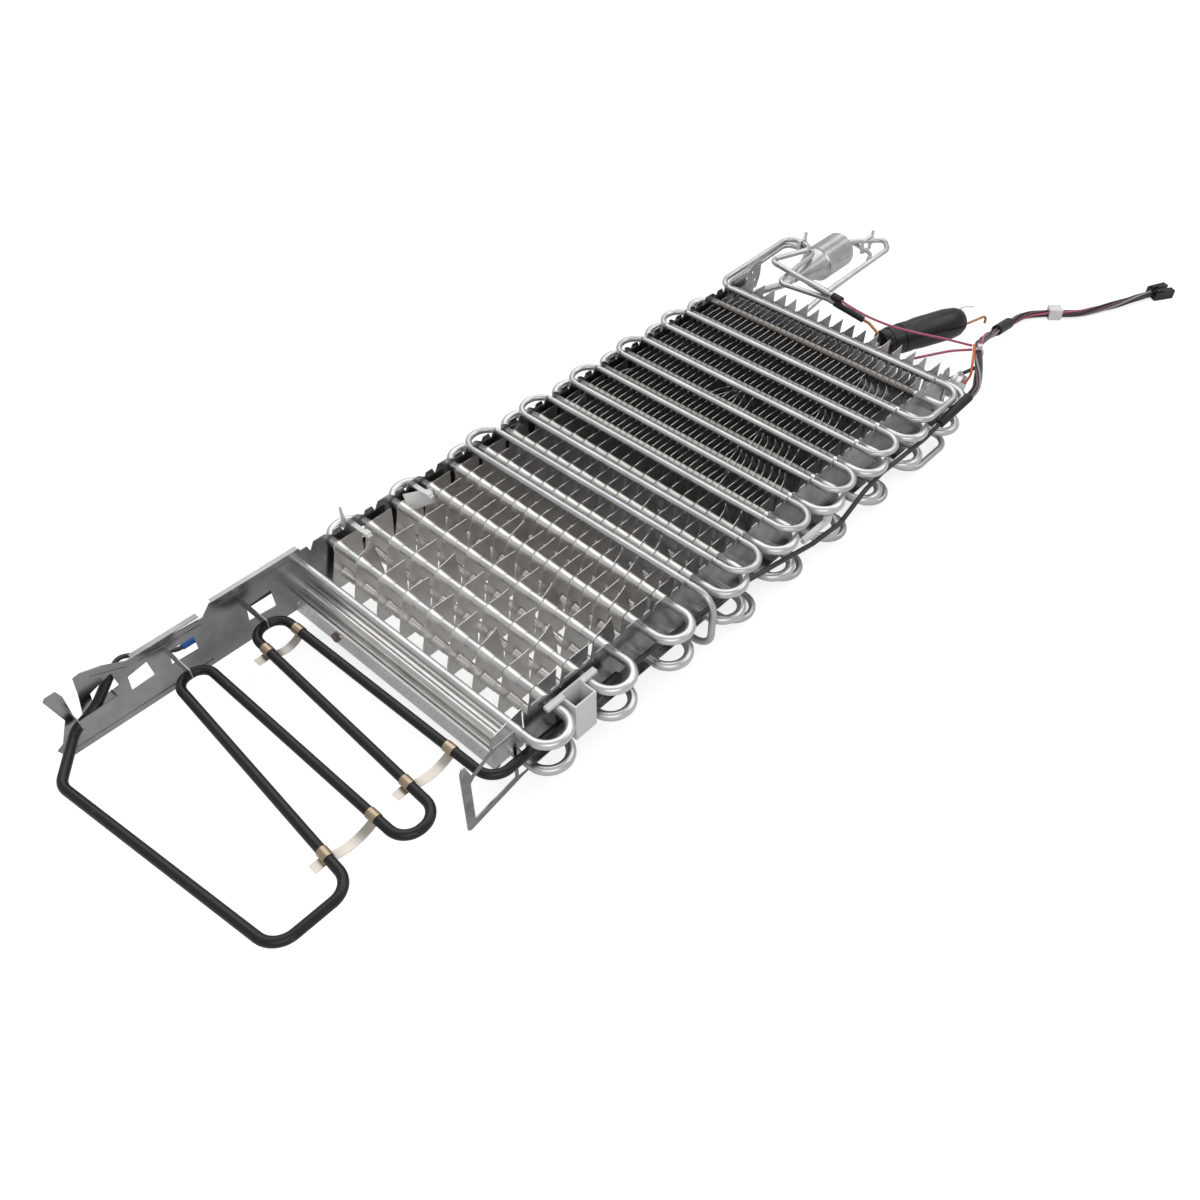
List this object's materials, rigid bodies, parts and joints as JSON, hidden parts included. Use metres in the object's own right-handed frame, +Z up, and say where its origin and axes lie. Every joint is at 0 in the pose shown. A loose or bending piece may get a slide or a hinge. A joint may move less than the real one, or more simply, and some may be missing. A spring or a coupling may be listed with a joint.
{
  "type": "refrigerator evaporator coil",
  "caption": "Two-layer serpentine evaporator coil with finned rows, pipe and sheath defrost heaters, end plates, accumulator and wiring",
  "frame": {"origin": "middle of the footprint on the surface that the coil lies on, wiring not counted", "axes": "+X along the tubes to the plate with the foot, +Y from the bracket end to the accumulator, +Z up"},
  "size_m": [0.3501, 1.2422, 0.0829],
  "materials": {
    "tube_aluminium": "drawn, satin",
    "fin_aluminium": "rolled foil, dull, jagged bright edges",
    "plate_aluminium": "rolled sheet, satin",
    "tray_aluminium": "rolled sheet, satin",
    "pipe_aluminium": "drawn, grey satin",
    "spun_aluminium": "spun cone, brushed shell",
    "sheath_black": "black sheath, satin",
    "black_rubber": "moulded, satin",
    "sleeve_black": "heat-shrink sleeve, glossy",
    "band_brass": "plated band",
    "strip_steel": "pale spring strip",
    "copper": "drawn copper",
    "white_plastic": "moulded nylon",
    "brown_plastic": "moulded",
    "blue_plastic": "heat-shrink",
    "wire_black": "wire insulation",
    "tape_black": "wrapped tape",
    "wire_pink": "wire insulation",
    "wire_orange": "wire insulation",
    "connector_black": "moulded housing"
  },
  "bodies": {
    "root": {"coil_tube": "tube_aluminium", "fins_row_02": "fin_aluminium", "fins_row_03": "fin_aluminium", "fins_row_04": "fin_aluminium", "fins_row_05": "fin_aluminium", "fins_row_06": "fin_aluminium", "fins_row_07": "fin_aluminium", "fins_row_08": "fin_aluminium", "fins_row_09": "fin_aluminium", "fins_row_10": "fin_aluminium", "fins_row_11": "fin_aluminium", "fins_row_12": "fin_aluminium", "fins_row_13": "fin_aluminium", "fins_row_14": "fin_aluminium", "fins_row_15": "fin_aluminium", "fins_row_16": "fin_aluminium", "fins_row_17": "fin_aluminium", "fins_row_18": "fin_aluminium", "left_plate": "plate_aluminium", "right_plate": "plate_aluminium", "drip_tray": "tray_aluminium", "dimpled_strip": "tray_aluminium", "strip_grommet": "brown_plastic", "pipe_heater": "pipe_aluminium", "pipe_crimps": "pipe_aluminium", "pipe_boots": "black_rubber", "sheath_heater": "sheath_black", "sheath_boot": "black_rubber", "heater_bands": "band_brass", "spring_strips": "strip_steel", "accumulator": "spun_aluminium", "suction_tube": "pipe_aluminium", "outlet_tube": "tube_aluminium", "inlet_tube": "pipe_aluminium", "joint_sleeve": "black_rubber", "copper_tube": "copper", "insulation_sleeve": "sleeve_black", "copper_stub": "copper", "capillary": "strip_steel", "second_tube": "pipe_aluminium", "thermostat": "pipe_aluminium", "side_holder": "white_plastic", "rear_holder": "white_plastic", "left_pad": "white_plastic", "tube_ties": "white_plastic", "left_ties": "white_plastic", "left_lead": "wire_black", "lead_splice": "blue_plastic", "side_cable": "wire_black", "harness_tape": "tape_black", "harness": "wire_black", "harness_tie": "white_plastic", "harness_cap": "black_rubber", "harness_plug": "white_plastic", "pink_lead": "wire_pink", "pink_lead_rear": "wire_pink", "orange_lead": "wire_orange", "end_connectors": "connector_black"}
  },
  "joints": []
}
